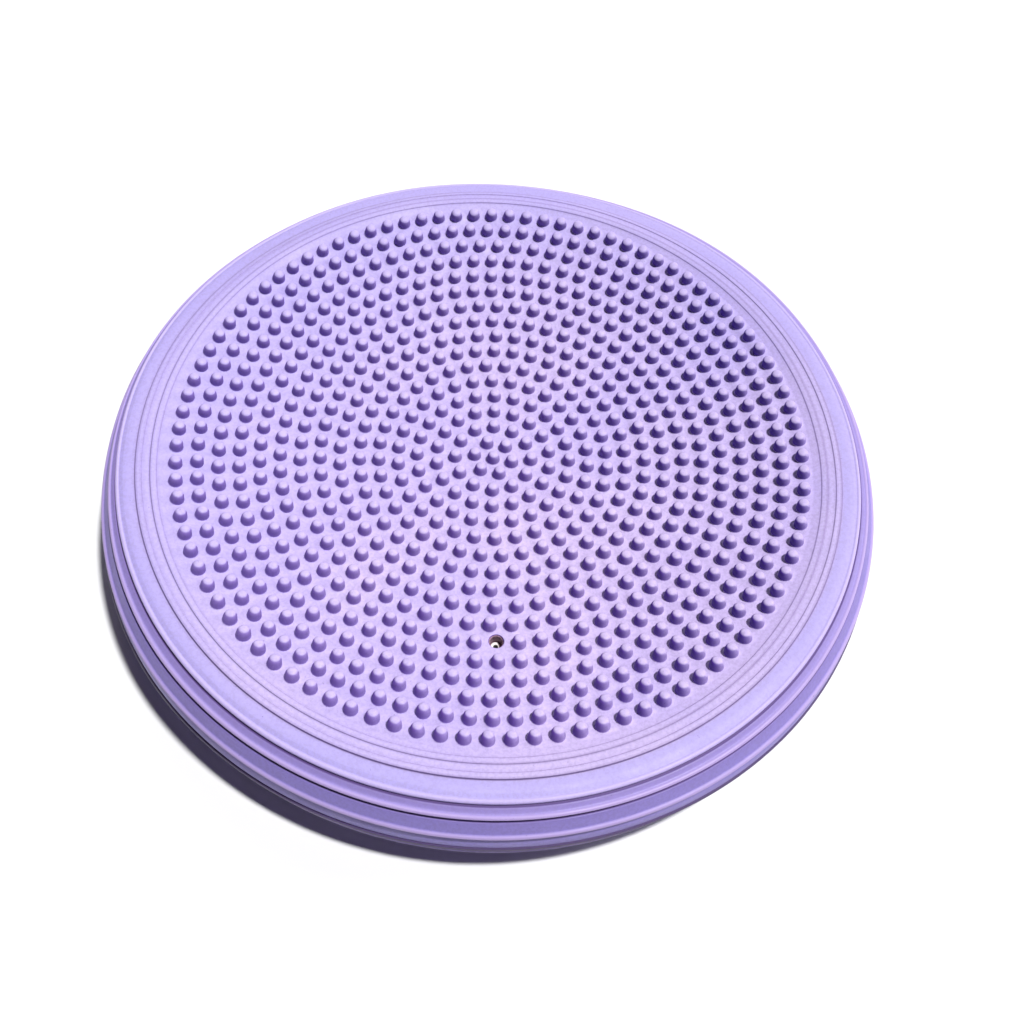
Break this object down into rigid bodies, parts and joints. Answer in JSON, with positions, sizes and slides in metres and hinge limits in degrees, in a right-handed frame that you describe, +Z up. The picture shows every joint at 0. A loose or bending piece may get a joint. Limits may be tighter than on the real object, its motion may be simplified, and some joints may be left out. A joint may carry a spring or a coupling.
{
  "type": "wobble cushion",
  "caption": "Round air-filled balance cushion with a dished, nubbed deck, a rolled ribbed rim and a needle valve set in the deck.",
  "frame": {"origin": "centre of the flat underside, on the surface that the cushion lies on", "axes": "+Z up through the middle of the deck, -Y towards the needle valve, +X to the right when the valve is nearest"},
  "size_m": [0.33, 0.33, 0.0395],
  "materials": {
    "skin": "matt lilac PVC with a faint sheen",
    "side_wall": "matt lilac PVC, smooth ribs",
    "weld": "matt lilac PVC, trimmed weld bead",
    "sleeve_rubber": "matt brown-pink rubber",
    "core_rubber": "matt off-white rubber"
  },
  "bodies": {
    "base": {"bottom_skin": "skin", "lower_side_wall": "side_wall"},
    "rim": {"rim_weld": "weld", "upper_side_wall": "side_wall"},
    "shoulder": {"shoulder_ring": "skin", "deck_margin": "skin"},
    "deck": {"nub_deck": "skin", "valve_boss": "skin", "valve_sleeve": "sleeve_rubber", "valve_core": "core_rubber"}
  },
  "joints": [
    {"name": "tilt_fore_aft", "type": "hinge", "parent": "base", "child": "rim", "pos_m": [0, 0, 0.0095], "axis": [1, 0, 0], "range_deg": [-3, 3], "stiffness_Nm_per_rad": 300, "deforming": ["lower_side_wall"]},
    {"name": "tilt_side_to_side", "type": "hinge", "parent": "rim", "child": "shoulder", "pos_m": [0, 0, 0.0301], "axis": [0, 1, 0], "range_deg": [-3, 3], "stiffness_Nm_per_rad": 300, "deforming": ["upper_side_wall"]},
    {"name": "deck_press", "type": "slide", "parent": "shoulder", "child": "deck", "axis": [0, 0, 1], "range_m": [-0.008, 0], "stiffness_N_per_m": 35000, "deforming": ["deck_margin"]}
  ]
}
